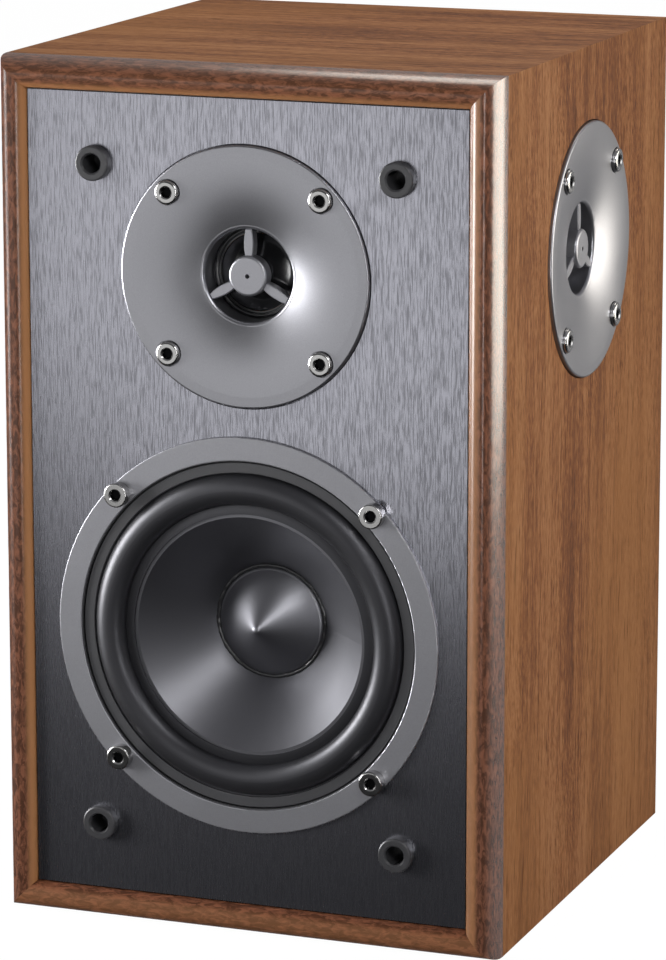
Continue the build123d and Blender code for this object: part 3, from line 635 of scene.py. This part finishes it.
class SPEAKER_OT_tweeters(bpy.types.Operator):
    """Finish both tweeters"""

    bl_idname = "speaker.tweeters"
    bl_label = "Tweeters"

    def execute(self, context):
        finish = context.scene.speaker_finish
        finishes = {
            "faceplate": satin_silver("plate_silver", finish.silver, 0.32, 0.93),
            "phase_plug": satin_silver("plug_silver", shade(finish.silver, 1.05), 0.36),
            "dome": moulded("dome_silk", (0.006, 0.006, 0.007), 0.16, 1200.0, 0.00002, 0.8),
            "surround": moulded("dome_roll_silk", (0.006, 0.006, 0.007), 0.22, 1200.0, 0.00002, 0.6),
            "voice_coil": wound_wire("tweeter_coil_wire", (0.62, 0.27, 0.12), 0.0003),
            "top_plate": metal("tweeter_plate_zinc", (0.55, 0.55, 0.57), 0.35),
            "yoke": metal("tweeter_yoke_zinc", (0.55, 0.55, 0.57), 0.35),
            "magnet": moulded("tweeter_ferrite", (0.045, 0.045, 0.05), 0.7, 500.0, 0.0002),
            "terminals": metal("blade_brass", (0.72, 0.52, 0.22), 0.3),
            "gasket": moulded("tweeter_foam", (0.02, 0.02, 0.02), 0.85, 1500.0, 0.0003),
        }
        for side in ("front_tweeter", "side_tweeter"):
            for part, material in finishes.items():
                wear(f"{side}_{part}", material)
            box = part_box(f"{side}_screws")
            across = 0 if side == "front_tweeter" else 1
            centre = [(box[0][axis] + box[1][axis]) / 2 for axis in (across, 2)]
            spacing = box[1][2] - box[0][2] - 2 * finish.screw_head
            wear(f"{side}_screws", socket_screw(
                f"{side}_screw_nickel", (0.5, 0.495, 0.49), finish.socket_shade_radius, spacing, centre, across))
        return {"FINISHED"}


class SPEAKER_OT_fittings(bpy.types.Operator):
    """Finish the grille sockets, the port and the terminals"""

    bl_idname = "speaker.fittings"
    bl_label = "Sockets, port and terminals"

    def execute(self, context):
        wear("grille_sockets", moulded("socket_black", (0.05, 0.05, 0.054), 0.34))
        wear("port_tube", moulded("port_black", (0.02, 0.02, 0.022), 0.5))
        wear("terminal_cup", moulded("cup_black", (0.02, 0.02, 0.022), 0.5))
        wear("terminal_cup_screws", metal("black_oxide", (0.05, 0.05, 0.055), 0.4))
        gold = metal("gold_plate", (0.83, 0.6, 0.24), 0.18)
        for node in ("binding_posts", "binding_post_nuts", "clamp_washer_red", "clamp_washer_black"):
            wear(node, gold)
        wear("terminal_knob_red", moulded("knob_red", (0.42, 0.012, 0.012), 0.25, 800.0, 0.00002, 0.5))
        wear("terminal_knob_black", moulded("knob_black", (0.012, 0.012, 0.013), 0.25, 800.0, 0.00002, 0.5))
        return {"FINISHED"}


class SPEAKER_OT_inside(bpy.types.Operator):
    """Finish the crossover and its leads, and stuff the fibre pads"""

    bl_idname = "speaker.inside"
    bl_label = "Crossover, leads and wadding"

    def execute(self, context):
        wear("crossover_board", lacquered_board("board_green", (0.05, 0.16, 0.05)))
        wear("crossover_coils", wound_wire("coil_copper", (0.62, 0.27, 0.12), 0.0009))
        wear("crossover_capacitors", moulded("capacitor_amber", (0.5, 0.26, 0.03), 0.25, 600.0, 0.00003, 0.5))
        wear("crossover_resistors", moulded("resistor_cement", (0.7, 0.69, 0.65), 0.8, 600.0, 0.0003))
        wear("crossover_screws", metal("board_screw_zinc", (0.55, 0.55, 0.57), 0.3))
        wear("internal_wires", moulded("lead_black", (0.02, 0.02, 0.022), 0.45))

        copy = NODES["damping_wadding"].data.copy()
        shape = bmesh.new()
        shape.from_mesh(copy)
        bpy.data.meshes.remove(copy)
        bmesh.ops.remove_doubles(shape, verts=shape.verts, dist=1e-6)
        bmesh.ops.triangulate(shape, faces=shape.faces)
        for _ in range(5):
            long_edges = [edge for edge in shape.edges if edge.calc_length() > 0.009]
            if long_edges:
                bmesh.ops.subdivide_edges(shape, edges=long_edges, cuts=1)
                bmesh.ops.triangulate(shape, faces=shape.faces)
        shape.normal_update()
        for vert in shape.verts:
            tuft = noise.noise(vert.co * 45.0) * 0.0018 + noise.noise(vert.co * 150.0) * 0.0008
            vert.co -= vert.normal * (0.0014 - tuft * 0.5)
        pads = finished_mesh("wadding_pads", shape, 180.0)
        pads.data.materials.append(fluffy("wadding_white", (0.7, 0.7, 0.67)))
        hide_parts("damping_wadding")
        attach(pads, "root")
        return {"FINISHED"}


class SPEAKER_OT_stage(bpy.types.Operator):
    """Set the floor, the soft lights and the camera"""

    bl_idname = "speaker.stage"
    bl_label = "Studio"

    def execute(self, context):
        stage = context.scene.speaker_stage
        context.scene.view_settings.view_transform = "Standard"
        self.camera(context, stage)
        self.floor(context)
        self.world(context)
        plain, cream, ivory = (1.0, 1.0, 1.0), (1.0, 0.95, 0.84), (1.0, 0.94, 0.86)
        # name, place, aim, size, watts, whether it only shows in reflections, colour
        lights = (
            ("front_card", (-0.13, -0.52, 0.145), (-0.13, 0.0, 0.145), (0.24, 0.25), 0.18, False, plain),
            ("front_left_card", (-0.40, -0.52, 0.19), (-0.40, 0.0, 0.19), (0.30, 0.24), 0.15, False, plain),
            ("flare_card", (-0.66, -0.42, 0.26), (0.0, -0.08, 0.18), (0.14, 0.42), 3.0, False, plain),
            ("left_card", (-0.68, -0.31, 0.16), (0.0, -0.08, 0.10), (0.24, 0.30), 6.6, True, plain),
            ("right_front_card", (0.38, -0.75, 0.16), (-0.05, -0.08, 0.15), (0.10, 0.34), 1.2, True, plain),
            ("back_right_card", (0.72, 0.317, 0.25), (0.085, -0.08, 0.22), (0.66, 0.48), 4.8, True, cream),
            ("high_box", (0.45, -0.55, 0.58), (0.0, -0.05, 0.12), (0.26, 0.20), 1.7, False, plain),
            ("side_box", (0.95, 0.05, 0.55), (0.08, 0.0, 0.15), (0.6, 0.6), 1.85, False, plain),
            ("top_box", (-0.05, 0.45, 0.95), (0.0, 0.05, 0.28), (0.5, 0.4), 3.1, False, ivory),
        )
        for light in lights:
            self.softbox(context, *light)
        return {"FINISHED"}

    def camera(self, context, stage):
        data = bpy.data.cameras.new("studio_camera")
        data.lens = stage.lens
        data.sensor_width = 36.0
        data.shift_x = stage.shift_x
        data.shift_y = stage.shift_y
        camera = bpy.data.objects.new("studio_camera", data)
        context.scene.collection.objects.link(camera)
        level = math.cos(stage.elevation)
        back = Vector((
            math.sin(stage.azimuth) * level, -math.cos(stage.azimuth) * level, math.sin(stage.elevation)))
        aim = Vector((stage.aim_side, 0.0, stage.aim_height))
        camera.location = aim + back * stage.distance
        camera.rotation_euler = (-back).to_track_quat("-Z", "Y").to_euler()
        context.scene.camera = camera

    def floor(self, context):
        shape = bmesh.new()
        bmesh.ops.create_grid(shape, x_segments=2, y_segments=2, size=6.0)
        floor = finished_mesh("studio_floor", shape)
        recipe = Recipe("floor_paper", Roughness=0.9, Specular_IOR_Level=0.0)
        mottle = recipe.noise(recipe.place(), 3.0, 2.0)
        recipe.feed(Base_Color=recipe.mix(mottle, rgb((0.90, 0.90, 0.90)), rgb((0.93, 0.93, 0.93))))
        seen = recipe.add("ShaderNodeLightPath", output="Is Camera Ray")
        glow = recipe.add("ShaderNodeEmission", inputs={"Color": (1, 1, 1, 1), "Strength": 1.02})
        matte = Value(recipe, recipe.shader.outputs[0])
        both = recipe.add("ShaderNodeMixShader", inputs={0: seen * 0.97, 1: matte, 2: glow})
        output = recipe.tree.nodes["Material Output"]
        recipe.tree.links.new(both.socket, output.inputs["Surface"])
        floor.data.materials.append(recipe.material)
        floor.visible_glossy = False

    def world(self, context):
        """White to the camera; to the surfaces a pale room behind the speaker and a dark one low in front."""
        world = bpy.data.worlds.new("studio_world")
        world.use_nodes = True
        context.scene.world = world
        nodes, links = world.node_tree.nodes, world.node_tree.links
        seen = nodes.new("ShaderNodeLightPath")
        where = nodes.new("ShaderNodeTexCoord")
        lean = nodes.new("ShaderNodeVectorMath")
        lean.operation = "DOT_PRODUCT"
        lean.inputs[1].default_value = (0.25, 0.75, 0.60)
        links.new(where.outputs["Generated"], lean.inputs[0])
        fade = nodes.new("ShaderNodeMapRange")
        fade.interpolation_type = "SMOOTHSTEP"
        fade.inputs["From Min"].default_value = -0.55
        fade.inputs["From Max"].default_value = 0.55
        links.new(lean.outputs["Value"], fade.inputs["Value"])
        tone = nodes.new("ShaderNodeMix")
        tone.data_type = "RGBA"
        tone.inputs[6].default_value = (0.012, 0.012, 0.013, 1.0)
        tone.inputs[7].default_value = (0.27, 0.27, 0.28, 1.0)
        links.new(fade.outputs["Result"], tone.inputs[0])
        room = nodes["Background"]
        links.new(tone.outputs[2], room.inputs["Color"])
        paper = nodes.new("ShaderNodeBackground")
        paper.inputs["Color"].default_value = (1.0, 1.0, 1.0, 1.0)
        mix = nodes.new("ShaderNodeMixShader")
        links.new(seen.outputs["Is Camera Ray"], mix.inputs[0])
        links.new(room.outputs[0], mix.inputs[1])
        links.new(paper.outputs[0], mix.inputs[2])
        links.new(mix.outputs[0], nodes["World Output"].inputs["Surface"])

    def softbox(self, context, name, place, aim, size, power, gloss_only, colour):
        """A soft rectangular light; one that is gloss_only shows in reflections and adds no diffuse light."""
        data = bpy.data.lights.new(name, "AREA")
        data.shape = "RECTANGLE"
        data.size, data.size_y = size
        data.energy = power
        data.color = colour
        box = bpy.data.objects.new(name, data)
        context.scene.collection.objects.link(box)
        box.location = place
        box.rotation_euler = (Vector(aim) - Vector(place)).to_track_quat("-Z", "Y").to_euler()
        box.visible_camera = False
        box.visible_diffuse = not gloss_only


class SPEAKER_PT_panel(bpy.types.Panel):
    """Lists the steps that finish the speaker"""

    bl_idname = "SPEAKER_PT_panel"
    bl_label = "Bookshelf Speaker"
    bl_space_type = "VIEW_3D"
    bl_region_type = "UI"
    bl_category = "Speaker"

    def draw(self, context):
        for operator in OPERATORS:
            self.layout.operator(operator.bl_idname)
        for group in ("speaker_finish", "speaker_surround", "speaker_stage"):
            settings = getattr(context.scene, group)
            for name in settings.bl_rna.properties.keys():
                if name not in ("rna_type", "name"):
                    self.layout.prop(settings, name)


GROUPS = {"speaker_finish": SpeakerFinish, "speaker_surround": SpeakerSurround, "speaker_stage": SpeakerStage}
OPERATORS = (
    SPEAKER_OT_stage,
    SPEAKER_OT_cabinet,
    SPEAKER_OT_surround,
    SPEAKER_OT_woofer,
    SPEAKER_OT_tweeters,
    SPEAKER_OT_fittings,
    SPEAKER_OT_inside,
)


def register():
    for item in (*GROUPS.values(), *OPERATORS, SPEAKER_PT_panel):
        bpy.utils.register_class(item)
    for name, group in GROUPS.items():
        setattr(bpy.types.Scene, name, bpy.props.PointerProperty(type=group))


def unregister():
    for name in GROUPS:
        delattr(bpy.types.Scene, name)
    for item in (SPEAKER_PT_panel, *reversed(OPERATORS), *reversed(tuple(GROUPS.values()))):
        bpy.utils.unregister_class(item)


def main():
    register()
    bpy.ops.speaker.stage()
    bpy.ops.speaker.cabinet()
    bpy.ops.speaker.surround()
    bpy.ops.speaker.woofer()
    bpy.ops.speaker.tweeters()
    bpy.ops.speaker.fittings()
    bpy.ops.speaker.inside()


if __name__ == "__main__":
    main()
